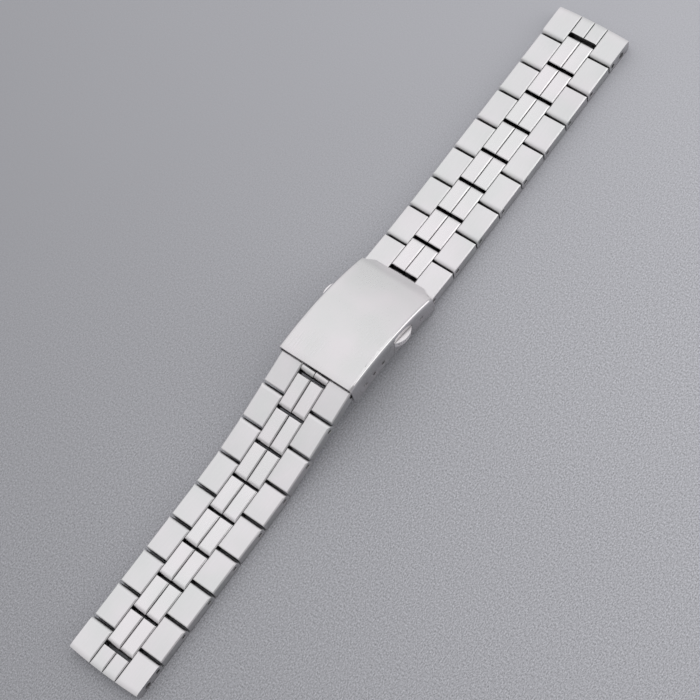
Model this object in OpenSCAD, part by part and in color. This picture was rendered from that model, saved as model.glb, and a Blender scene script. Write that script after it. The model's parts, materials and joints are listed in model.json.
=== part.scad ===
// Steel watch bracelet with a folding clasp, lying open on a table.
// X runs along the bracelet, Y across it and Z up; the origin is on the table,
// under the middle of the bracelet. Left is toward -X and right toward +X.
// Links are numbered outward from the clasp.

/* [Links] */
// Width of the bracelet
strap_w = 18; // [14:0.5:24]
// Distance from one link pin to the next
pitch = 8.5; // [7.5:0.1:11]
// Thickness of a link
link_t = 3; // [2.8:0.1:3.6]
// Number of links in each half
links = 8; // [4:1:8]
// Width of the pair of centre bars
centre_w = 6.8; // [5:0.1:8]
// Slit between the two centre bars
centre_slit = 0.15; // [0.1:0.05:0.3]
// Slit between a centre bar and an outer link
side_slit = 0.08; // [0.05:0.01:0.2]
// Gap between one outer link and the next
link_gap = 0.4; // [0.3:0.05:0.6]
// Overhang of a link past its pin
link_tip = 1.29; // [1.1:0.01:1.35]
// Radius of the top edge at a link's tip
tip_top_r = 1.2; // [0.6:0.1:1.3]
// Radius of the bottom edge at a link's tip
tip_bottom_r = 0.5; // [0.4:0.1:0.8]
// Radius of the edges at a link's straight end
heel_r = 0.3; // [0.1:0.05:0.5]
// Bevel along the top edges of a link
top_bevel = 0.25; // [0.1:0.05:0.4]
// Bevel along the bottom edges of a link
bottom_bevel = 0.15; // [0.1:0.05:0.3]

/* [Link pins] */
// Radius of a link pin
pin_r = 0.5; // [0.4:0.05:0.6]
// Depth of a pin's end below the side of the bracelet
pin_recess = 0.3; // [0.2:0.05:0.5]
// Distance from the fork pin to the first cross pin
cross_pin_a = 3; // [2.7:0.1:3.3]
// Distance from the fork pin to the second cross pin
cross_pin_b = 5.5; // [5:0.1:5.8]
// Wall left outside a blind cross pin hole
cross_pin_wall = 1.4; // [1:0.1:2]
// Radial clearance of a pin that turns in its hole
run_gap = 0.05; // [0.03:0.01:0.08]
// Radial clearance of a pin that is fixed in its hole
press_gap = 0.01; // [0.005:0.005:0.02]

/* [End pieces] */
// Distance from an end piece's pin to its far end
end_reach = 6.75; // [6.2:0.05:7.5]
// Distance from the far end to the spring bar bore
end_bore_back = 3.4; // [3:0.1:3.7]
// Radius of the spring bar bore
end_bore_r = 0.8; // [0.75:0.05:0.95]
// Wall of the tube round the spring bar bore
end_tube_wall = 0.4; // [0.35:0.05:0.5]
// Radius of the downward curve at the far end
end_nose_r = 4.6; // [4.2:0.1:6]
// Radius of the far end seen from above
end_plan_r = 130; // [100:5:200]
// Thickness of an end piece's top and sides
end_wall = 0.9; // [0.7:0.1:1.1]
// Width of the grooves in an end piece's top
groove_w = 0.15; // [0.1:0.05:0.25]
// Depth of the grooves in an end piece's top
groove_d = 0.4; // [0.2:0.05:0.6]

/* [Clasp cover] */
// Radius of the arch along the cover's top
arch_r = 58; // [50:1:70]
// Length of the cover from its crest to the left edge
cover_left = 2.4; // [2:0.1:3]
// Length of the cover from its crest to the right corners
cover_right = 25.1; // [24.6:0.1:25.6]
// Reach of the middle of the right edge past its corners
cover_lip = 1.2; // [0.6:0.1:1.4]
// Half the width of that lip
lip_half_w = 6.2; // [5:0.1:6.6]
// Thickness of the cover's side walls
wall_t = 0.45; // [0.4:0.05:0.6]
// Thickness of the cover's top
plate_t = 0.5; // [0.4:0.05:0.7]
// Space between the strap and a side wall
wall_gap = 0.1; // [0.08:0.01:0.2]
// Radius of the cover's shoulders
shoulder_r = 1; // [0.6:0.1:1.2]
// Height of a side wall at the crest
wall_h = 6.55; // [6.4:0.05:6.8]
// Radius of the arch along the lower edges
lower_arch_r = 76; // [72:1:82]
// Spacing of the adjusting holes
adjust_step = 3; // [2.6:0.1:3.1]
// Number of adjusting holes in each wall
adjust_holes = 3; // [2:1:3]

/* [Clasp fold] */
// Thickness of the folding blades
blade_t = 0.8; // [0.7:0.05:0.9]
// Space between the folded blades
blade_gap = 0.3; // [0.25:0.05:0.4]
// Space between the blades' sides and a side wall
blade_side_gap = 0.85; // [0.8:0.05:1.2]
// Radius of the arch of the blades
blade_arch_r = 90; // [80:1:110]
// Radius of the blades' knuckles
knuckle_r = 1.1; // [1:0.05:1.15]
// Distance between the two hinges of the middle blade
fold_l = 20.2; // [19.8:0.1:20.4]
// Width of the base blade's knuckle
base_knuckle_w = 9.8; // [8:0.1:11]

/* [Pushers] */
// Length of a pusher along the cover
pusher_l = 5.9; // [5:0.1:6.2]
// Height of a pusher
pusher_h = 3.9; // [3.4:0.1:4.2]
// Rise of a pusher from the side wall
pusher_rise = 1.1; // [0.8:0.1:1.4]
// Travel of a pusher
pusher_travel = 0.5; // [0.4:0.05:0.5]
// Radius of the pusher springs
spring_r = 0.65; // [0.5:0.05:0.7]
// Radius of the spring wire
wire_r = 0.14; // [0.1:0.02:0.16]
// Turns of a pusher spring
spring_turns = 6; // [4:1:8]

/* [Connector] */
// Distance from the connector's pin to its spring bar
connector_l = 4.19; // [4.1:0.01:4.6]
// Radius of the connector's barrel
barrel_r = 1.1; // [1.05:0.05:1.15]
// Radius of the spring bar's body
bar_r = 0.75; // [0.6:0.05:0.8]
// Radius of the spring bar's tips
bar_tip_r = 0.45; // [0.35:0.05:0.5]

/* [Resting shape] */
// Drop of each left link from the clasp outward, in degrees
left_drop = [15, 14, 10, 3];
// Drop of each right link from the clasp outward, in degrees
right_drop = [4.5, 2.5, 1];

/* [Hidden] */
eps = 0.01;
round_fn = 32;
arch_fn = 720;

// Half widths across the strap and the clasp
half_w = strap_w / 2;
outer_in = centre_w / 2 + side_slit;
cover_in = half_w + wall_gap;
cover_half = cover_in + wall_t;
blade_half = cover_in - blade_side_gap;

// Places along a link, measured from its fork pin
link_heel = pitch - link_tip - link_gap;
centre_heel = link_tip + link_gap;
centre_tip = pitch + link_tip;

// Resting path of the pins from the clasp outward
function drop(angles, n) = n < len(angles) ? angles[n] : 0;
function run_x(angles, n) = n == 0 ? 0 : run_x(angles, n - 1) + pitch * cos(drop(angles, n - 1));
function run_z(angles, n) = n == 0 ? 0 : run_z(angles, n - 1) + pitch * sin(drop(angles, n - 1));
function pin_height(angles, n) = link_t / 2 + run_z(angles, links) - run_z(angles, n);

// Places in the clasp's own frame, whose origin is on top of the crest
bar_at = [1.65, -4.6];
hinge_b = [20.7, -7.25];
hinge_a = [hinge_b[0] - fold_l, -7.2];
strap_pin_at = [hinge_b[0] + 5.28, -8.514];
pusher_at = [14.35, -6.25];
pusher_tilt = asin(pusher_at[0] / arch_r);
pusher_depth = arch_r - norm(pusher_at + [0, arch_r]);
lower_arch_at = [-0.7, -wall_h - lower_arch_r];

// Place of the clasp's frame over the table
clasp_z = pin_height(right_drop, 0) - strap_pin_at[1];
connector_rise = pin_height(left_drop, 0) - clasp_z - bar_at[1];
connector_run = sqrt(connector_l * connector_l - connector_rise * connector_rise);
connector_tilt = asin(connector_rise / connector_l);
left_run = connector_run - bar_at[0] + run_x(left_drop, links) + end_reach;
right_run = strap_pin_at[0] + run_x(right_drop, links) + end_reach;
clasp_x = (left_run - right_run) / 2;
left_start = clasp_x + bar_at[0] - connector_run;
right_start = clasp_x + strap_pin_at[0];

// Blades' middle line: over the left hinge's knuckle and under the right one's
blade_z_a = hinge_a[1] + knuckle_r - blade_t / 2;
blade_z_b = hinge_b[1] - knuckle_r + blade_t / 2;
blade_step = blade_t + blade_gap;
blade_chord = sqrt(fold_l * fold_l + pow(blade_z_a - blade_z_b, 2));
blade_slope = asin((blade_z_a - blade_z_b) / blade_chord);
blade_sag = sqrt(blade_arch_r * blade_arch_r - blade_chord * blade_chord / 4);
blade_centre = [
    (hinge_a[0] + hinge_b[0]) / 2 - blade_sag * sin(blade_slope),
    (blade_z_a + blade_z_b) / 2 - blade_sag * cos(blade_slope)
];
base_end = strap_pin_at[0] - norm([link_tip - tip_bottom_r, link_t / 2 - tip_bottom_r]) - tip_bottom_r - 0.2;

// Latch: a nose on each pusher stands in the window of an ear of the base blade
ear_t = 0.4;
ear_out = blade_half - 0.2;
ear_in = ear_out - ear_t;
ear_l = 2.6;
nose_l = 1.3;
nose_h = 0.35;
nose_reach = ear_out - 0.15;
latch_gap = 0.1;
ear_top = nose_h + latch_gap + 0.3;
arm_w = 1.8;
arm_low = ear_top + 0.15;
arm_h = 0.8;
catch_out = ear_in - 0.35;
catch_in = catch_out - 0.4;
flange_out = cover_in - latch_gap;
flange_in = ear_out + pusher_travel + latch_gap;
plug_in = cover_in - 0.05;
lug_half = 1;

// Extrudes a side view, drawn in X and Z, from y0 to y1
module across(y0, y1) {
    translate([0, y1, 0]) rotate([90, 0, 0]) linear_extrude(y1 - y0) children();
}

// A rod along Y
module rod(r, y0, y1, at = [0, 0]) {
    translate([at[0], y1, at[1]]) rotate([90, 0, 0]) cylinder(r = r, h = y1 - y0, $fn = round_fn);
}

// Cuts a corner of a side view down to a radius; sx and sz point out of the corner
module corner_cut(at, r, sx, sz) {
    difference() {
        translate([at[0] - (sx > 0 ? r : eps), at[1] - (sz > 0 ? r : eps)]) square(r + eps);
        translate([at[0] - sx * r, at[1] - sz * r]) circle(r = r, $fn = round_fn);
    }
}

// Side view of a bar from x0 to x1, with its own radius at each corner
module bar_outline(x0, x1, z0, z1, top0, top1, bottom0, bottom1) {
    difference() {
        translate([x0, z0]) square([x1 - x0, z1 - z0]);
        corner_cut([x0, z1], top0, -1, 1);
        corner_cut([x1, z1], top1, 1, 1);
        corner_cut([x0, z0], bottom0, -1, -1);
        corner_cut([x1, z0], bottom1, 1, -1);
    }
}

// End view of a bar from y0 to y1 with bevelled edges, drawn out along X
module bevelled_bar(x0, x1, y0, y1) {
    top = link_t / 2;
    translate([x0, 0, 0]) rotate([90, 0, 90]) linear_extrude(x1 - x0) polygon([
        [y0 + bottom_bevel, -top], [y1 - bottom_bevel, -top],
        [y1, -top + bottom_bevel], [y1, top - top_bevel],
        [y1 - top_bevel, top], [y0 + top_bevel, top],
        [y0, top - top_bevel], [y0, -top + bottom_bevel]
    ]);
}

// Puts a link's own frame at a pin of one half: its fork pin is the origin,
// and the link reaches away from the clasp along -X
module at_pin(side, n) {
    angles = side == "left" ? left_drop : right_drop;
    mirrored = side == "left" ? 0 : 1;
    start = side == "left" ? left_start : right_start;
    reach = run_x(angles, n - 1) * (mirrored ? 1 : -1);
    translate([start + reach, 0, pin_height(angles, n - 1)])
        mirror([mirrored, 0, 0])
            rotate([0, -drop(angles, n - 1), 0])
                children();
}

module at_clasp() {
    translate([clasp_x, 0, clasp_z]) children();
}

// The two outer links of a unit, one solid each side
module outer_links(side, n) {
    fork_r = pin_r + (side == "right" && n == 1 ? press_gap : run_gap);
    color([0.83, 0.84, 0.85]) at_pin(side, n) for (s = [0, 1]) mirror([0, s, 0]) difference() {
        intersection() {
            across(outer_in, half_w)
                bar_outline(-link_heel, link_tip, -link_t / 2, link_t / 2,
                            heel_r, tip_top_r, heel_r, tip_bottom_r);
            bevelled_bar(-link_heel - 1, link_tip + 1, outer_in, half_w);
        }
        rod(fork_r, outer_in - 1, half_w + 1);
        for (x = [cross_pin_a, cross_pin_b])
            rod(pin_r + press_gap, outer_in - 1, half_w - cross_pin_wall, [-x, 0]);
    }
}

// The two centre bars of a unit with the two cross pins that hold the outer links
module centre_links(side, n) {
    color([0.78, 0.79, 0.81]) at_pin(side, n) union() {
        for (s = [0, 1]) mirror([0, s, 0]) difference() {
            intersection() {
                across(centre_slit / 2, centre_w / 2)
                    bar_outline(-centre_tip, -centre_heel, -link_t / 2, link_t / 2,
                                tip_top_r, heel_r, tip_bottom_r, heel_r);
                bevelled_bar(-centre_tip - 1, -centre_heel + 1, centre_slit / 2, centre_w / 2);
            }
            rod(pin_r + press_gap, -1, half_w, [-pitch, 0]);
        }
        cross_end = half_w - cross_pin_wall - 0.1;
        for (x = [cross_pin_a, cross_pin_b]) rod(pin_r, -cross_end, cross_end, [-x, 0]);
    }
}

// The pin that a unit's centre bars carry in the next fork. The first right
// link's fork also holds the pin of the base blade
module link_pin(side, n) {
    end = half_w - pin_recess;
    color([0.7, 0.71, 0.72]) at_pin(side, n) {
        rod(pin_r, -end, end, [-pitch, 0]);
        if (side == "right" && n == 1) rod(pin_r, -end, end);
    }
}

// Side view of an end piece, drawn in by inset all round
module end_outline(inset) {
    top = link_t / 2 - inset;
    far = end_reach - inset;
    nose_x = -(end_reach - 3.75);
    difference() {
        translate([-far, -link_t / 2]) square([far + link_tip, link_t / 2 + top]);
        difference() {
            translate([-far - 1, -link_t / 2]) square([far + 1 + nose_x, link_t + 1]);
            translate([nose_x, link_t / 2 - end_nose_r]) circle(r = end_nose_r - inset, $fn = 96);
        }
        corner_cut([link_tip, top], tip_top_r, 1, 1);
        corner_cut([link_tip, -link_t / 2], tip_bottom_r, 1, -1);
    }
}

// The piece that fills the space between the lugs of a watch
module end_piece(side) {
    bore_x = end_bore_back - end_reach;
    tube_r = end_bore_r + end_tube_wall;
    bore_z = tube_r - link_t / 2;
    color([0.83, 0.84, 0.85]) at_pin(side, links + 1) difference() {
        union() {
            difference() {
                intersection() {
                    across(-half_w, half_w) end_outline(0);
                    bevelled_bar(-end_reach - 1, link_tip + 1, -half_w, half_w);
                    translate([end_plan_r - end_reach, 0, -link_t])
                        cylinder(r = end_plan_r, h = 2 * link_t, $fn = arch_fn);
                }
                across(-outer_in, outer_in)
                    translate([-centre_heel, -link_t]) square([link_t + link_tip, 2 * link_t]);
                across(end_wall - half_w, half_w - end_wall) intersection() {
                    end_outline(end_wall);
                    translate([-end_reach, -link_t])
                        square([end_reach - centre_heel - end_wall, 2 * link_t]);
                }
                across(-half_w, half_w)
                    translate([-end_reach + end_wall, -link_t / 2 - 1])
                        square([end_reach - centre_heel - 2 * end_wall, 1 + eps]);
                for (y = [-centre_w / 2, 0, centre_w / 2])
                    across(y - groove_w / 2, y + groove_w / 2) difference() {
                        translate([-end_reach - 1, -link_t / 2])
                            square([end_reach + 1 - centre_heel + eps, link_t + 1]);
                        end_outline(groove_d);
                    }
            }
            rod(tube_r, -half_w + end_wall / 2, half_w - end_wall / 2, [bore_x, bore_z]);
        }
        rod(end_bore_r, -half_w - 1, half_w + 1, [bore_x, bore_z]);
        rod(pin_r + run_gap, -half_w - 1, half_w + 1);
    }
}

// Section across the cover: its top, walls and rounded shoulders
module cover_section() {
    depth = 12;
    difference() {
        union() {
            translate([arch_r - depth, -cover_half]) square([depth - shoulder_r, 2 * cover_half]);
            translate([arch_r - depth, shoulder_r - cover_half])
                square([depth, 2 * (cover_half - shoulder_r)]);
            for (s = [-1, 1])
                translate([arch_r - shoulder_r, s * (cover_half - shoulder_r)])
                    circle(r = shoulder_r, $fn = round_fn);
        }
        translate([arch_r - depth - 1, -cover_in]) square([depth + 1 - plate_t, 2 * cover_in]);
    }
}

// The cover seen from above: a straight left edge, and a lip on the right edge
// that steps back to the corners in an S on each side
module cover_plan() {
    steps = 12;
    s_w = cover_half - lip_half_w - shoulder_r;
    s_curve = [for (i = [0:steps]) [
        cover_right + cover_lip * (1 + cos(180 * i / steps)) / 2,
        lip_half_w + s_w * i / steps
    ]];
    mirrored = [for (i = [steps:-1:0]) [s_curve[i][0], -s_curve[i][1]]];
    polygon(concat(
        [[-cover_left, cover_half + 1], [-cover_left, -cover_half - 1],
         [cover_right, -cover_half - 1]],
        mirrored, s_curve, [[cover_right, cover_half + 1]]
    ));
}

// Place along the cover's arch, depth below its top
function on_arch(x, depth) = let (a = asin(x / arch_r)) [x, (arch_r - depth) * cos(a) - arch_r];

module clasp_cover() {
    corner_r = 1.2;
    corner_z = lower_arch_at[1] + sqrt(pow(lower_arch_r, 2) - pow(cover_right - lower_arch_at[0], 2));
    lug_l = 2.2;
    lug_low = arm_low - 0.8;
    color([0.86, 0.86, 0.87]) at_clasp() union() {
        difference() {
            intersection() {
                translate([0, 0, -arch_r]) rotate([90, 0, 0]) rotate([0, 0, 60])
                    rotate_extrude(angle = 36, $fn = arch_fn) cover_section();
                translate([0, 0, -20]) linear_extrude(25) cover_plan();
            }
            translate([lower_arch_at[0], 20, lower_arch_at[1]]) rotate([90, 0, 0])
                cylinder(r = lower_arch_r, h = 40, $fn = arch_fn);
            across(-20, 20) difference() {
                translate([cover_right - corner_r, corner_z - 1]) square([2, corner_r + 1]);
                translate([cover_right - corner_r, corner_z + corner_r])
                    circle(r = corner_r, $fn = round_fn);
            }
            for (i = [0:adjust_holes - 1]) {
                hole = on_arch(bar_at[0] + i * adjust_step, arch_r - norm(bar_at + [0, arch_r]));
                rod(bar_tip_r + run_gap, -20, 20, [bar_at[0] + i * adjust_step, hole[1]]);
            }
            rod(pin_r + run_gap, -20, 20, hinge_b);
            at_pusher() translate([-pusher_l / 2 - latch_gap, -20, -6])
                cube([pusher_l + 2 * latch_gap, 40, 6 + pusher_h / 2 + latch_gap]);
        }
        at_pusher() translate([-lug_l / 2, -lug_half, lug_low])
            cube([lug_l, 2 * lug_half, pusher_depth - plate_t / 2 - lug_low]);
    }
}

module at_pusher() {
    translate([pusher_at[0], 0, pusher_at[1]]) rotate([0, pusher_tilt, 0]) children();
}

// A pusher: a half-moon button that fills a notch in the wall, a flange behind
// the wall, and an arm that carries the latch's nose
module pusher(side) {
    round_r = (pow(pusher_l / 2, 2) + pow(pusher_rise, 2)) / (2 * pusher_rise);
    inner_low = 0.3;
    flange_over = 0.5;
    line_w = 0.16;
    color([0.8, 0.81, 0.82]) at_clasp() mirror([0, side == "left" ? 0 : 1, 0]) at_pusher() {
        difference() {
            union() {
                intersection() {
                    translate([0, cover_half + pusher_rise - round_r, -pusher_h / 2])
                        cylinder(r = round_r, h = pusher_h, $fn = 96);
                    translate([-pusher_l / 2, plug_in, -pusher_h])
                        cube([pusher_l, 4, 2 * pusher_h]);
                }
                translate([-pusher_l / 2, plug_in, -pusher_h / 2])
                    cube([pusher_l, cover_half - plug_in, pusher_h]);
            }
            translate([-pusher_l, cover_half + 0.3, pusher_h / 2 - 0.75])
                cube([2 * pusher_l, 4, line_w]);
        }
        translate([-pusher_l / 2, flange_in, inner_low])
            cube([pusher_l, plug_in - flange_in + eps, pusher_h / 2 - inner_low]);
        translate([-pusher_l / 2 - flange_over, flange_in, inner_low])
            cube([pusher_l + 2 * flange_over, flange_out - flange_in,
                  pusher_h / 2 + flange_over - inner_low]);
        translate([-arm_w / 2, catch_in, arm_low])
            cube([arm_w, flange_in - catch_in + eps, arm_h]);
        translate([-ear_l / 2, catch_in, -0.05])
            cube([ear_l, catch_out - catch_in, arm_low + arm_h + 0.05]);
        translate([-nose_l / 2, catch_out - eps, 0])
            cube([nose_l, nose_reach - catch_out + eps, nose_h]);
    }
}

// Points of a coil along +Y: spring_turns turns of wire, 8 stations a turn
function coil_ring(i, n, length, sides) =
    let (a = 360 * spring_turns * i / n,
         y = wire_r + (length - 2 * wire_r) * i / n)
    [for (k = [0:sides - 1])
        let (b = 360 * k / sides, r = spring_r + wire_r * cos(b))
        [r * cos(a), y + wire_r * sin(b), r * sin(a)]];

module coil(length) {
    sides = 6;
    n = 8 * spring_turns;
    points = [for (i = [0:n]) each coil_ring(i, n, length, sides)];
    skin = [for (i = [0:n - 1], k = [0:sides - 1])
        let (a = i * sides + k, b = i * sides + (k + 1) % sides)
        each [[a, b, b + sides], [a, b + sides, a + sides]]];
    caps = [for (k = [1:sides - 2]) each [
        [0, k + 1, k],
        [n * sides, n * sides + k, n * sides + k + 1]
    ]];
    gap = (length - 2 * wire_r) / spring_turns - 2 * wire_r;
    echo(least_gap_between_spring_turns = gap);
    polyhedron(points = points, faces = concat(skin, caps));
}

module pusher_spring(side) {
    seat = lug_half + 0.02;
    color([0.65, 0.66, 0.68]) at_clasp() mirror([0, side == "left" ? 0 : 1, 0]) at_pusher()
        translate([0, seat, arm_low + 0.05]) coil(catch_in - seat - 0.02);
}

// The connector joins the first left link to the spring bar in the cover
module at_connector() {
    translate([left_start, 0, pin_height(left_drop, 0)]) rotate([0, connector_tilt, 0]) children();
}

module connector() {
    barrel_half = half_w - 0.3;
    tip_r = link_tip;
    bar_h = 2.2;
    color([0.8, 0.81, 0.82]) at_connector() difference() {
        union() {
            for (s = [0, 1]) mirror([0, s, 0]) across(centre_slit / 2, centre_w / 2) union() {
                circle(r = tip_r, $fn = round_fn);
                translate([0, -bar_h / 2]) square([connector_l, bar_h]);
            }
            rod(barrel_r, -barrel_half, barrel_half, [connector_l, 0]);
        }
        rod(pin_r + press_gap, -half_w, half_w);
        rod(bar_r + run_gap, -half_w, half_w, [connector_l, 0]);
    }
}

// The first left link's pin and the spring bar, with its thin tips in the walls
module connector_pins() {
    end = half_w - pin_recess;
    bar_end = half_w - 0.4;
    color([0.7, 0.71, 0.72]) at_connector() {
        rod(pin_r, -end, end);
        union() {
            rod(bar_r, -bar_end, bar_end, [connector_l, 0]);
            rod(bar_tip_r, -cover_half + 0.1, cover_half - 0.1, [connector_l, 0]);
        }
    }
}

// Side view of a blade's sheet, lowered by step from the middle blade's place
module blade_outline(x0, x1, step) {
    intersection() {
        difference() {
            translate([blade_centre[0], blade_centre[1] - step])
                circle(r = blade_arch_r + blade_t / 2, $fn = arch_fn);
            translate([blade_centre[0], blade_centre[1] - step])
                circle(r = blade_arch_r - blade_t / 2, $fn = arch_fn);
        }
        translate([x0, -14]) square([x1 - x0, 12]);
    }
}

// A long window with round ends in a blade
module blade_window(x0, x1, w) {
    translate([0, 0, -14]) linear_extrude(12) {
        translate([x0 + w / 2, -w / 2]) square([x1 - x0 - w, w]);
        for (x = [x0 + w / 2, x1 - w / 2]) translate([x, 0]) circle(r = w / 2, $fn = round_fn);
    }
}

// The blade between the cover and the base blade
module middle_blade() {
    knuckle_in = base_knuckle_w / 2 + 0.1;
    clear_r = knuckle_r + 0.15;
    color([0.76, 0.77, 0.78]) at_clasp() difference() {
        union() {
            difference() {
                across(-blade_half, blade_half) blade_outline(hinge_a[0], hinge_b[0], 0);
                rod(clear_r, -knuckle_in, knuckle_in, hinge_a);
                translate([hinge_a[0] - 1, -knuckle_in, -14])
                    cube([1 + clear_r, 2 * knuckle_in, 12]);
                at_pusher() for (s = [-1, 1])
                    translate([-ear_l / 2 - 0.3, s * (ear_in - 0.15 + 2) - 2, -4])
                        cube([ear_l + 0.6, 4, 6]);
                blade_window(hinge_a[0] + 4.2, hinge_b[0] - 4, 5);
            }
            for (s = [0, 1]) mirror([0, s, 0]) rod(knuckle_r, knuckle_in, blade_half, hinge_a);
            rod(knuckle_r, -blade_half, blade_half, hinge_b);
        }
        rod(pin_r + press_gap, -half_w, half_w, hinge_a);
        rod(pin_r + press_gap, -half_w, half_w, hinge_b);
    }
}

// The rivets of the fold: one through the cover's walls, one through the knuckles
module blade_pins() {
    color([0.7, 0.71, 0.72]) at_clasp() {
        rod(pin_r, -cover_half + 0.05, cover_half - 0.05, hinge_b);
        rod(pin_r, -blade_half + 0.05, blade_half - 0.05, hinge_a);
    }
}

// The blade that the right half hangs on, with its latch ears
module base_blade() {
    knuckle_in = base_knuckle_w / 2;
    clear_r = knuckle_r + 0.15;
    strap_knuckle_r = 1.35;
    tongue_low = strap_pin_at[1] - strap_knuckle_r;
    color([0.76, 0.77, 0.78]) at_clasp() difference() {
        union() {
            difference() {
                across(-blade_half, blade_half) blade_outline(hinge_a[0], base_end, blade_step);
                for (s = [0, 1]) mirror([0, s, 0]) {
                    rod(clear_r, knuckle_in, half_w, hinge_a);
                    translate([hinge_a[0] - 1, knuckle_in, -14])
                        cube([1 + clear_r, half_w, 12]);
                }
                blade_window(hinge_a[0] + 4.6, hinge_b[0] - 4.4, 4.4);
            }
            rod(knuckle_r, -knuckle_in, knuckle_in, hinge_a);
            across(-centre_w / 2, centre_w / 2) {
                translate(strap_pin_at) circle(r = strap_knuckle_r, $fn = round_fn);
                polygon([
                    [base_end - 1, tongue_low + 0.1], [strap_pin_at[0], tongue_low],
                    [strap_pin_at[0], tongue_low + blade_t], [base_end - 1, tongue_low + 0.1 + blade_t]
                ]);
            }
            at_pusher() for (s = [0, 1]) mirror([0, s, 0]) difference() {
                translate([-ear_l / 2, ear_in, -1.9]) cube([ear_l, ear_t, ear_top + 1.9]);
                translate([-nose_l / 2 - latch_gap, ear_in - 1, -latch_gap])
                    cube([nose_l + 2 * latch_gap, 3, nose_h + 2 * latch_gap]);
            }
        }
        rod(pin_r + run_gap, -half_w, half_w, hinge_a);
        rod(pin_r + run_gap, -half_w, half_w, strap_pin_at);
    }
}

for (side = ["left", "right"], n = [1:links]) {
    outer_links(side, n);
    centre_links(side, n);
    link_pin(side, n);
}
for (side = ["left", "right"]) {
    end_piece(side);
    pusher(side);
    pusher_spring(side);
}
clasp_cover();
connector();
connector_pins();
middle_blade();
blade_pins();
base_blade();
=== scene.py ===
import json
import math

import bmesh
import bpy
from mathutils import Matrix, Vector


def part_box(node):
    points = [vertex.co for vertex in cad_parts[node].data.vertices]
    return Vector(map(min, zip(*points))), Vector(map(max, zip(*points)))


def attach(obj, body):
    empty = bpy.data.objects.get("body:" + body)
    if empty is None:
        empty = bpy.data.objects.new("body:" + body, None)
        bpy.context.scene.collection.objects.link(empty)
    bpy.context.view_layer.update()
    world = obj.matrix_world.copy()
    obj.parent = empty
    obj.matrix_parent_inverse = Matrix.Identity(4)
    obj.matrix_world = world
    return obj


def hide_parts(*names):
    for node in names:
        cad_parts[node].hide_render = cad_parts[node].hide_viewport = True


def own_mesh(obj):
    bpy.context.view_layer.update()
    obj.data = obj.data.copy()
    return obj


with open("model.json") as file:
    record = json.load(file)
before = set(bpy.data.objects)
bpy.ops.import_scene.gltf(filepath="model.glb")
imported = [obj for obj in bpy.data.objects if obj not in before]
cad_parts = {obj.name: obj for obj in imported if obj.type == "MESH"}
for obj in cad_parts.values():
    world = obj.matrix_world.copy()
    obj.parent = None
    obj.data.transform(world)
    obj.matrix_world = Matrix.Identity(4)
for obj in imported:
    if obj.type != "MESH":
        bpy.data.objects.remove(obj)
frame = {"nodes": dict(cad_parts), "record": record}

MM = 0.001
SCENE = bpy.context.scene
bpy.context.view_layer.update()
BEHAVIOUR = frame["record"]["behaviour"]
BODY_OF = {n: b for b, nodes in BEHAVIOUR["bodies"].items() for n in nodes}
SLOT_OF = {p["node"]: p["material_slot"] for p in frame["record"]["subparts"]}

# Photograph's view: the point on the table at the picture's centre, the distance to it, the way
# that the camera looks and its roll in degrees, and the lens
AIM = Vector((-4.4, 0.5, 0.0)) * MM
VIEW_DISTANCE = 373.9 * MM
VIEW_AZIMUTH = 57.21
VIEW_ELEVATION = 64.92
VIEW_ROLL = 22.53
LENS = 90.58
SENSOR = 36.0
CLIP_START = 0.01
CLIP_END = 10.0

# Studio dome: its colour, the middle of its bright part, and its ramp as the cosines of the
# angle off that middle where it starts and ends, and the strengths there
DOME_COLOUR = (0.99, 0.985, 1.0, 1)
GLOW_AZIMUTH = 55.0
GLOW_ELEVATION = 58.0
GLOW_RAMP = (0.1, 1.0, 0.36, 0.94)

# Two long lamps on the near right, which draw the white line and the glow beside it on the
# cover's shoulder: the sky places of their ends as azimuth and elevation, width and power
STRIP_LAMPS = {
    "rim_strip": {"ends": ((279.0, 32.0), (329.0, 7.0)), "width": 0.40, "power": 1.15},
    "shoulder_strip": {"ends": ((275.0, 60.0), (335.0, 47.0)), "width": 0.5, "power": 0.42},
}
LAMP_DISTANCE = 1.0

# Floor: half its side in metres, how far it lies below the bracelet, its colour at the middle,
# the direction in which painted light makes it lighter, the rate of that per millimetre and how far it
# goes on
FLOOR_HALF = 1.5
FLOOR_DROP = 0.02
FLOOR_COLOUR = (0.500, 0.505, 0.536)
FLOOR_LIGHTER = (0.892, -0.453, 0.0)
FLOOR_RATE = 0.002
FLOOR_REACH = 100
FLOOR_ROUGH = 0.8

# Clouds in the floor: their rate per metre and their strength
FLOOR_CLOUDS = 9.0
FLOOR_CLOUDING = 0.02

# Grain of the floor: rate per metre, stretch, strength, bump strength and height, and the
# direction and the places along it, in millimetres, between which it grows from faint to full
GRAIN_RATE = 2600.0
GRAIN_STRETCH = 1.4
GRAIN = 0.48
GRAIN_BUMP = 0.25
GRAIN_HEIGHT = 0.06
GRAIN_NEARER = (-0.606, -0.796, 0.0)
GRAIN_GROWS = (-60.0, 20.0)
GRAIN_FAINT = 0.1

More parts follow.
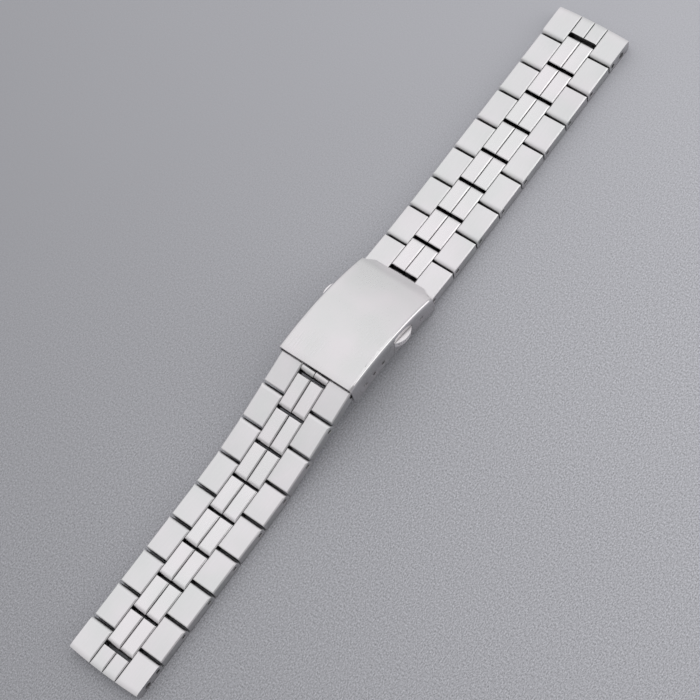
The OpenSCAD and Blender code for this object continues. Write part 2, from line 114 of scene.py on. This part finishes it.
# Steels: colour, roughness, scratches per millimetre across the brushing and their height in
# millimetres, and what brushed_steel names besides where one differs there
WALL_FACE = 9.55
STEELS = {
    "outer_link_steel": {
        "colour": (0.825, 0.82, 0.825), "rough": 0.36, "lines": 16, "depth": 0.004, "tint": 0.04},
    "centre_link_steel": {
        "colour": (0.865, 0.855, 0.86), "rough": 0.26, "lines": 16, "depth": 0.0015},
    "cover_steel": {
        "colour": (0.81, 0.80, 0.805), "rough": 0.30, "lines": 20, "depth": 0.003, "polish": 0.17},
    # The pusher's painted shade in gaps is weaker, so its neck beside the wall stays bright
    "pusher_steel": {
        "colour": (0.93, 0.92, 0.92), "rough": 0.26, "lines": 20, "depth": 0.002, "grime": 0.4,
        "bright_from": WALL_FACE + 0.05},
    "blade_steel": {
        "colour": (0.78, 0.78, 0.78), "rough": 0.24, "lines": 14, "depth": 0.003},
    "pin_steel": {
        "colour": (0.60, 0.60, 0.60), "rough": 0.30, "lines": 16, "depth": 0.002},
    "spring_steel": {
        "colour": (0.55, 0.55, 0.56), "rough": 0.28, "lines": 16, "depth": 0.001},
}

# Brushing: how slowly fine and coarse scratches change along it, how many times as wide the
# coarse ones are, the share of the fine ones, the spread of roughness and the bump's strength
FINE_ALONG = 0.02
COARSE_ALONG = 0.04
COARSE_WIDER = 5
FINE_SHARE = 0.6
ROUGH_SPREAD = 0.05
BRUSH_BUMP = 0.5

# Clouds in the gloss and colour of the steel: their rate per metre and their effect on the gloss
CLOUDS = 70.0
SMUDGE = 0.03

# Slow unevenness that polishing leaves: its rate per metre and its height in millimetres
WAVES = 170.0
WAVE_HEIGHT = 0.05

# Painted shade in gaps and bores: how far it looks for a neighbouring surface, in millimetres, and how
# open a place is where the painted shade is full and where it ends
GAP_REACH = 1.3
GAP_SHADE_OPEN = (0.2, 0.68)

# Faces that look sideways get painted shade, darker than the brushed tops: its strength, how far
# a face leans to a side where that starts and is full, and the width of the step back to bright
SIDE_SHADE = 0.72
SIDE_SHADE_LEAN = (0.8, 1.0)
BRIGHT_STEP = 0.05

# How far a polished shoulder's face leans to a side where its polish starts and is full
POLISHED_LEAN = (0.35, 0.65)

# Two hues between which the steel drifts from place to place, its rate per metre and its ramp
COOL_HUE = (0.97, 0.983, 0.973)
WARM_HUE = (1.025, 1.005, 1.015)
HUE_DRIFT = 120.0
HUE_RAMP = (0.35, 0.65)

# Rounding of the sharp edges, in millimetres, for each steel but that of the springs, the
# angles above which an edge is sharp and below which it is flat, and the reach of a weld
EDGE_OF = {
    "outer_link_steel": 0.06,
    "centre_link_steel": 0.06,
    "cover_steel": 0.05,
    "pusher_steel": 0.05,
    "blade_steel": 0.08,
    "pin_steel": 0.05,
}
EDGE_SEGMENTS = 3
SHARP_ANGLE = 28
FLAT_ANGLE = 0.1
WELD = 0.0005

# Straight end pieces, in millimetres: the nose's radius and length, the rounding under it, the
# notch that the last centre bars lie in, tip radii and wall, the grooves, the bow in plan and
# where it starts, counted from the link pin, and the bores
NOSE_R = 3.0
NOSE_L = 1.2
NOSE_BOTTOM_R = 1.2
END_NOTCH = 1.99
NOTCH_HALF = 3.48
TIP_TOP_R = 1.2
TIP_BOTTOM_R = 0.5
END_WALL = 0.9
GROOVES = (-3.4, 0.0, 3.4)
GROOVE_HALF = 0.075
GROOVE_DEPTH = 0.55
GROOVE_BEVEL = 0.3
PLAN_R = 130.0
BOW_START = 4
BOW_STEPS = 16
PIN_BORE_R = 0.55
BAR_BORE_R = 0.8
BAR_TUBE_R = 1.2
BAR_BACK = 3.4

# Half-moon of each pusher, in millimetres and degrees: the pusher's middle and tilt in the side
# wall, and the height above that middle below which its button is cut back to the wall's face
PUSHER_PLACE = (2.236, 4.95)
PUSHER_TILT = 14.3
MOON_LOW = 0.65

# How far a cutting tool reaches past what it cuts, past a bevelled edge, and round a pusher
OVER = 1
OVER_BEVEL = 0.1
OVER_PUSHER = 5


def direction(azimuth, elevation):
    """Unit vector toward a place in the sky, azimuth counted from +X toward +Y."""
    a, e = math.radians(azimuth), math.radians(elevation)
    return Vector((math.cos(a) * math.cos(e), math.sin(a) * math.cos(e), math.sin(e)))


def linked(name, data):
    """New object of the scene that holds the data."""
    item = bpy.data.objects.new(name, data)
    SCENE.collection.objects.link(item)
    return item


def placed(spot, x, y, z):
    """Matrix of an object at a spot whose own axes lie along three directions."""
    return Matrix.Translation(spot) @ Matrix((x, y, z)).transposed().to_4x4()


def make_camera():
    """The photograph's camera, rolled about its line of sight."""
    forward = direction(VIEW_AZIMUTH, -VIEW_ELEVATION)
    level_right = forward.cross(Vector((0, 0, 1))).normalized()
    right = Matrix.Rotation(math.radians(VIEW_ROLL), 3, forward) @ level_right
    data = bpy.data.cameras.new("photo_camera")
    data.sensor_width = SENSOR
    data.lens = LENS
    data.clip_start = CLIP_START
    data.clip_end = CLIP_END
    camera = linked("photo_camera", data)
    camera.matrix_world = placed(AIM - forward * VIEW_DISTANCE, right, right.cross(forward), -forward)
    SCENE.camera = camera


def make_strip_lamp(name, ends, width, power):
    """A strip lamp between two places in the sky, facing the middle of the bracelet."""
    start, end = [direction(*place) * LAMP_DISTANCE for place in ends]
    outward = (start + end).normalized()
    along = (end - start).normalized()
    lamp = bpy.data.lights.new(name, "AREA")
    lamp.shape = "RECTANGLE"
    lamp.size = (end - start).length
    lamp.size_y = width
    lamp.energy = power
    strip = linked(name, lamp)
    strip.matrix_world = placed(outward * LAMP_DISTANCE, along, outward.cross(along), outward)


class Nodes:
    """Short calls for building the node tree of a material or a world."""

    def __init__(self, owner):
        owner.use_nodes = True
        self.tree = owner.node_tree
        self.tree.nodes.clear()

    def add(self, kind, inputs=None, **settings):
        node = self.tree.nodes.new(kind)
        for key, value in settings.items():
            setattr(node, key, value)
        for key, value in (inputs or {}).items():
            if isinstance(value, bpy.types.NodeSocket):
                self.tree.links.new(value, node.inputs[key])
            else:
                node.inputs[key].default_value = value
        return node

    def noise(self, vector, scale, detail, roughness=0.5):
        node = self.add("ShaderNodeTexNoise", {
            "Vector": vector, "Scale": scale, "Detail": detail, "Roughness": roughness})
        return node.outputs["Fac"]

    def stretched(self, vector, x, y, z):
        node = self.add("ShaderNodeMapping", {"Vector": vector, "Scale": (x, y, z)})
        return node.outputs["Vector"]

    def remap(self, value, low, high, start=0.25, end=0.75):
        """Value from start to end becomes low to high, and stays there outside them."""
        node = self.add("ShaderNodeMapRange", {
            "Value": value, "From Min": start, "From Max": end, "To Min": low, "To Max": high})
        return node.outputs["Result"]

    def math(self, operation, a, b):
        return self.add("ShaderNodeMath", {0: a, 1: b}, operation=operation).outputs[0]

    def size_of_y(self, vector):
        y = self.add("ShaderNodeSeparateXYZ", {"Vector": vector}).outputs["Y"]
        return self.math("ABSOLUTE", y, 0.0)

    def dot(self, vector, toward):
        node = self.add("ShaderNodeVectorMath", {0: vector, 1: toward}, operation="DOT_PRODUCT")
        return node.outputs["Value"]

    def blended(self, kind, first, second, factor=1.0):
        node = self.add("ShaderNodeMix", {"Factor": factor, 6: first, 7: second},
                        data_type="RGBA", blend_type=kind)
        return node.outputs[2]

    def bump(self, height, strength, distance, **inputs):
        node = self.add("ShaderNodeBump", {
            "Height": height, "Strength": strength, "Distance": distance * MM, **inputs})
        return node.outputs["Normal"]

    def principled(self, inputs):
        shader = self.add("ShaderNodeBsdfPrincipled", inputs)
        self.add("ShaderNodeOutputMaterial", {"Surface": shader.outputs[0]})


def make_world():
    """A pale dome that glows over the far side of the table and is dim over the near side."""
    SCENE.world = bpy.data.worlds.new("studio")
    n = Nodes(SCENE.world)
    place = n.add("ShaderNodeTexCoord").outputs["Generated"]
    cosine = n.dot(place, direction(GLOW_AZIMUTH, GLOW_ELEVATION))
    start, end, dim, bright = GLOW_RAMP
    back = n.add("ShaderNodeBackground", {
        "Color": DOME_COLOUR, "Strength": n.remap(cosine, dim, bright, start, end)})
    n.add("ShaderNodeOutputWorld", {"Surface": back.outputs[0]})


def brushed_steel(name, colour, rough, lines, depth, tint=0.025, grime=0.03, polish=0.0, bright_from=None):
    """Steel brushed along X, with painted shade in narrow gaps and bores. tint is the spread of its
    colour, the next argument the brightness that painted shade leaves in the deepest gap, and polish
    how much smoother the faces are that lean to a side. Faces that look sideways get painted shade,
    but not further out from the middle plane than bright_from, in millimetres, where that is given."""
    material = bpy.data.materials.new(name)
    n = Nodes(material)
    coordinates = n.add("ShaderNodeTexCoord")
    place = coordinates.outputs["Object"]
    sideways = n.size_of_y(coordinates.outputs["Normal"])

    fine = n.noise(n.stretched(place, FINE_ALONG, 1, 1), lines / MM, 4.0, 0.65)
    coarse = n.noise(n.stretched(place, COARSE_ALONG, 1, 1), lines / MM / COARSE_WIDER, 3.0, 0.6)
    brush = n.math("ADD", n.math("MULTIPLY", fine, FINE_SHARE), n.math("MULTIPLY", coarse, 1 - FINE_SHARE))
    cloud = n.noise(place, CLOUDS, 2.0)

    gloss = n.math("ADD", n.remap(brush, rough - ROUGH_SPREAD, rough + ROUGH_SPREAD),
                   n.remap(cloud, -SMUDGE, SMUDGE))
    gloss = n.math("SUBTRACT", gloss, n.remap(sideways, 0.0, polish, *POLISHED_LEAN))

    shade = n.math("ADD", n.remap(brush, 1 - tint, 1 + tint), n.remap(cloud, -tint, tint))
    # Painted shade on faces that look sideways, lifted again beyond bright_from where that is given
    painted_side_shade = n.remap(sideways, 1.0, SIDE_SHADE, *SIDE_SHADE_LEAN)
    if bright_from:
        step = [edge * MM for edge in (bright_from, bright_from + BRIGHT_STEP)]
        painted_side_shade = n.math("MAXIMUM", painted_side_shade, n.remap(n.size_of_y(place), 0.0, 1.0, *step))
    # Painted shade: the colour darkens where ambient occlusion finds a surface close by, in narrow gaps
    # and bores
    gap = n.add("ShaderNodeAmbientOcclusion", {"Distance": GAP_REACH * MM}, samples=8).outputs["AO"]
    painted_gap_shade = n.remap(gap, grime, 1.0, *GAP_SHADE_OPEN)
    cool, warm = [(*[c * h for c, h in zip(colour, hue)], 1) for hue in (COOL_HUE, WARM_HUE)]
    drift = n.remap(n.noise(place, HUE_DRIFT, 1.0), 0.0, 1.0, *HUE_RAMP)
    base = n.blended("MULTIPLY", n.blended("MIX", cool, warm, drift),
                     n.math("MULTIPLY", n.math("MULTIPLY", shade, painted_side_shade), painted_gap_shade))

    uneven = n.bump(n.noise(place, WAVES, 0.0), 1.0, WAVE_HEIGHT)
    normal = n.bump(brush, BRUSH_BUMP, depth, Normal=uneven)
    n.principled({"Base Color": base, "Roughness": gloss, "Metallic": 1.0, "Normal": normal})
    return material


def floor_material():
    """Grained pale sheet, with painted light that makes it a little lighter toward the picture's right."""
    material = bpy.data.materials.new("table_paper")
    n = Nodes(material)
    place = n.add("ShaderNodeTexCoord").outputs["Object"]
    grain = n.noise(n.stretched(place, 1, GRAIN_STRETCH, 1), GRAIN_RATE, 2.0, 0.6)
    cloud = n.noise(place, FLOOR_CLOUDS, 2.0)
    change = FLOOR_REACH * FLOOR_RATE
    # Painted light: the floor grows lighter toward one side, standing in for the falloff of a lamp
    painted_falloff = n.remap(n.dot(place, FLOOR_LIGHTER), 1 - change, 1 + change,
                   -FLOOR_REACH * MM, FLOOR_REACH * MM)
    growth = n.remap(n.dot(place, GRAIN_NEARER), GRAIN_FAINT, 1.0, *[edge * MM for edge in GRAIN_GROWS])
    specks = n.math("MULTIPLY", n.remap(grain, -GRAIN, GRAIN), growth)
    specks = n.math("ADD", n.math("ADD", specks, 1.0), n.remap(cloud, -FLOOR_CLOUDING, FLOOR_CLOUDING))
    base = n.blended("MULTIPLY", (*FLOOR_COLOUR, 1), n.math("MULTIPLY", specks, painted_falloff))
    normal = n.bump(grain, GRAIN_BUMP, GRAIN_HEIGHT)
    n.principled({"Base Color": base, "Roughness": FLOOR_ROUGH, "Normal": normal})
    return material


def make_floor():
    mesh = bpy.data.meshes.new("table_top")
    corners = [(x * FLOOR_HALF, y * FLOOR_HALF, 0) for x, y in ((-1, -1), (1, -1), (1, 1), (-1, 1))]
    mesh.from_pydata(corners, [], [(0, 1, 2, 3)])
    mesh.materials.append(floor_material())
    floor = linked("table_top", mesh)
    floor.location.z = -FLOOR_DROP * MM


def shell(name, loops):
    """Closed object through loops of points in millimetres, one loop after another."""
    work = bmesh.new()
    rings = [[work.verts.new(Vector(point) * MM) for point in loop] for loop in loops]
    for first, second in zip(rings, rings[1:]):
        for i, corner in enumerate(first):
            work.faces.new((first[i - 1], corner, second[i], second[i - 1]))
    work.faces.new(rings[0])
    work.faces.new(rings[-1])
    bmesh.ops.recalc_face_normals(work, faces=work.faces)
    mesh = bpy.data.meshes.new(name)
    work.to_mesh(mesh)
    work.free()
    return linked(name, mesh)


def arc(x, z, radius, start, end, steps=8):
    """Points of an arc about (x, z), from one angle in degrees to another."""
    angles = [math.radians(start + (end - start) * i / steps) for i in range(steps + 1)]
    return [(x + radius * math.cos(a), z + radius * math.sin(a)) for a in angles]


def across(name, outline, low, high):
    """Outline in the XZ plane, drawn out along Y."""
    return shell(name, [[(x, y, z) for x, z in outline] for y in (low, high)])


def box(name, low, high):
    """Box between its lowest and its highest corner."""
    outline = [(low[0], low[2]), (high[0], low[2]), (high[0], high[2]), (low[0], high[2])]
    return across(name, outline, low[1], high[1])


def rod(name, x, z, radius, half, sides=32):
    """Round rod along Y about (x, z), half as long to either side of the middle plane."""
    return across(name, arc(x, z, radius, 0, 360 - 360 / sides, sides - 1), -half, half)


def combined(base, steps):
    """Mesh of the base after a list of boolean steps, whose tools are used up."""
    for operation, tool in steps:
        change = base.modifiers.new(tool.name, "BOOLEAN")
        change.operation = operation
        change.object = tool
        change.solver = "EXACT"
    mesh = bpy.data.meshes.new_from_object(base.evaluated_get(bpy.context.evaluated_depsgraph_get()))
    for used in [base] + [tool for _, tool in steps]:
        bpy.data.objects.remove(used)
    return mesh


def end_piece_mesh(node, pin, facing):
    """Straight end piece about its link pin: a bar with a rounded nose, hollow underneath, with
    a notch for the last centre bars, grooves that go on their lines, and two bores."""
    low, high = [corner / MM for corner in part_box(node)]
    half_t = (high.z - low.z) / 2
    half_w = high.y
    reach = max(high.x - pin.x, pin.x - low.x)
    tip = min(high.x - pin.x, pin.x - low.x)
    lean = math.degrees(math.asin(NOSE_L / NOSE_R))
    outline = (
        arc(NOSE_L - reach, half_t - NOSE_R, NOSE_R, 90 + lean, 90)
        + arc(tip - TIP_TOP_R, half_t - TIP_TOP_R, TIP_TOP_R, 90, 0)
        + arc(tip - TIP_BOTTOM_R, TIP_BOTTOM_R - half_t, TIP_BOTTOM_R, 0, -90)
        + arc(NOSE_BOTTOM_R - reach, NOSE_BOTTOM_R - half_t, NOSE_BOTTOM_R, -90, -180))
    bowed = []
    for i in range(BOW_STEPS + 1):
        y = half_w * (2 * i / BOW_STEPS - 1)
        bow = y * y / 2 / PLAN_R
        bowed.append([(x + bow * min(1, max(0, -BOW_START - x)), y, z) for x, z in outline])

    deep = half_t + OVER
    past_tip = tip + OVER
    steps = [
        ("DIFFERENCE", box("notch", (-END_NOTCH, -NOTCH_HALF, -deep), (past_tip, NOTCH_HALF, deep))),
        ("DIFFERENCE", box("hollow", (END_WALL - reach, END_WALL - half_w, -deep),
                           (-END_NOTCH - END_WALL, half_w - END_WALL, half_t - END_WALL))),
    ]
    groove = [(GROOVE_BEVEL + OVER_BEVEL, OVER_BEVEL), (GROOVE_HALF, GROOVE_HALF - GROOVE_BEVEL),
              (GROOVE_HALF, -GROOVE_DEPTH)]
    groove += [(-y, z) for y, z in reversed(groove)]
    for y in GROOVES:
        loops = [[(x, y + dy, half_t + dz) for dy, dz in groove] for x in (-reach - OVER, past_tip)]
        steps.append(("DIFFERENCE", shell("groove", loops)))
    bar = (BAR_BACK - reach, BAR_TUBE_R - half_t)
    steps += [
        ("UNION", rod("bar_tube", *bar, BAR_TUBE_R, half_w - END_WALL / 2)),
        ("DIFFERENCE", rod("bar_bore", *bar, BAR_BORE_R, half_w + OVER)),
        ("DIFFERENCE", rod("pin_bore", 0, 0, PIN_BORE_R, half_w + OVER)),
    ]
    mesh = combined(shell(node, bowed), steps)
    mesh.transform(Matrix.Translation(pin * MM) @ Matrix.Diagonal((facing, 1, 1, 1)))
    if facing < 0:
        mesh.flip_normals()
    return mesh


def pusher_mesh(node, side):
    """The CAD pusher with its button cut back to the wall's face below the half-moon plate."""
    base = linked(node, frame["nodes"][node].data.copy())
    near, far = sorted((side * WALL_FACE, side * (WALL_FACE + OVER_PUSHER)))
    cutter = box("below_moon", (-OVER_PUSHER, near, -OVER_PUSHER), (OVER_PUSHER, far, MOON_LOW))
    x, z = PUSHER_PLACE
    place = Matrix.Translation(Vector((x, 0, z)) * MM)
    cutter.data.transform(place @ Matrix.Rotation(math.radians(PUSHER_TILT), 4, "Y"))
    return combined(base, [("DIFFERENCE", cutter)])


def stand_in(node, ending, mesh, material):
    """Piece of that mesh that takes a CAD node's place."""
    mesh.materials.clear()
    mesh.materials.append(material)
    piece = linked(node + ending, mesh)
    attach(piece, BODY_OF[node])
    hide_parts(node)
    return piece


def finished(node, material, edge, form=None):
    """A copy of a CAD node's mesh, or the given form, with its sharp edges rounded by edge
    millimetres, which takes the node's place."""
    mesh = bpy.data.meshes.new(node + "_finish")
    work = bmesh.new()
    work.from_mesh(form or frame["nodes"][node].data)
    bmesh.ops.remove_doubles(work, verts=work.verts, dist=WELD * MM)
    bmesh.ops.dissolve_limit(
        work, angle_limit=math.radians(FLAT_ANGLE), verts=work.verts, edges=work.edges)
    for face in work.faces:
        face.smooth = True
    work.to_mesh(mesh)
    work.free()
    piece = stand_in(node, "_finish", mesh, material)
    bevel = piece.modifiers.new("round_edges", "BEVEL")
    bevel.width = edge * MM
    bevel.segments = EDGE_SEGMENTS
    bevel.limit_method = "ANGLE"
    bevel.angle_limit = math.radians(SHARP_ANGLE)
    bevel.harden_normals = True
    bevel.miter_outer = "MITER_ARC"


def sprung(joint, material):
    """Copies of a sliding joint's coil springs, each with a mesh of its own, which take the nodes'
    places."""
    for spring in joint["deforming_nodes"]:
        node = spring["node"]
        mesh = frame["nodes"][node].data.copy()
        for face in mesh.polygons:
            face.use_smooth = True
        piece = stand_in(node, "_coil", mesh, material)
        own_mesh(piece)


make_camera()
make_world()
for name, lamp in STRIP_LAMPS.items():
    make_strip_lamp(name, **lamp)
make_floor()

STEEL = {name: brushed_steel(name, **values) for name, values in STEELS.items()}
PINS = {joint["child"]: Vector(joint["pos_m"]) / MM for joint in BEHAVIOUR["joints"] if "pos_m" in joint}
FORMS = {}
for side, sign in (("left", 1), ("right", -1)):
    FORMS["end_piece_" + side] = end_piece_mesh("end_piece_" + side, PINS["end_" + side], sign)
    FORMS["pusher_" + side] = pusher_mesh("pusher_" + side, sign)

for name in frame["nodes"]:
    slot = SLOT_OF[name]
    if slot in EDGE_OF:
        finished(name, STEEL[slot], EDGE_OF[slot], FORMS.get(name))
for joint in BEHAVIOUR["joints"]:
    if joint["type"] == "slide":
        sprung(joint, STEEL["spring_steel"])

SCENE.view_settings.view_transform = "Standard"
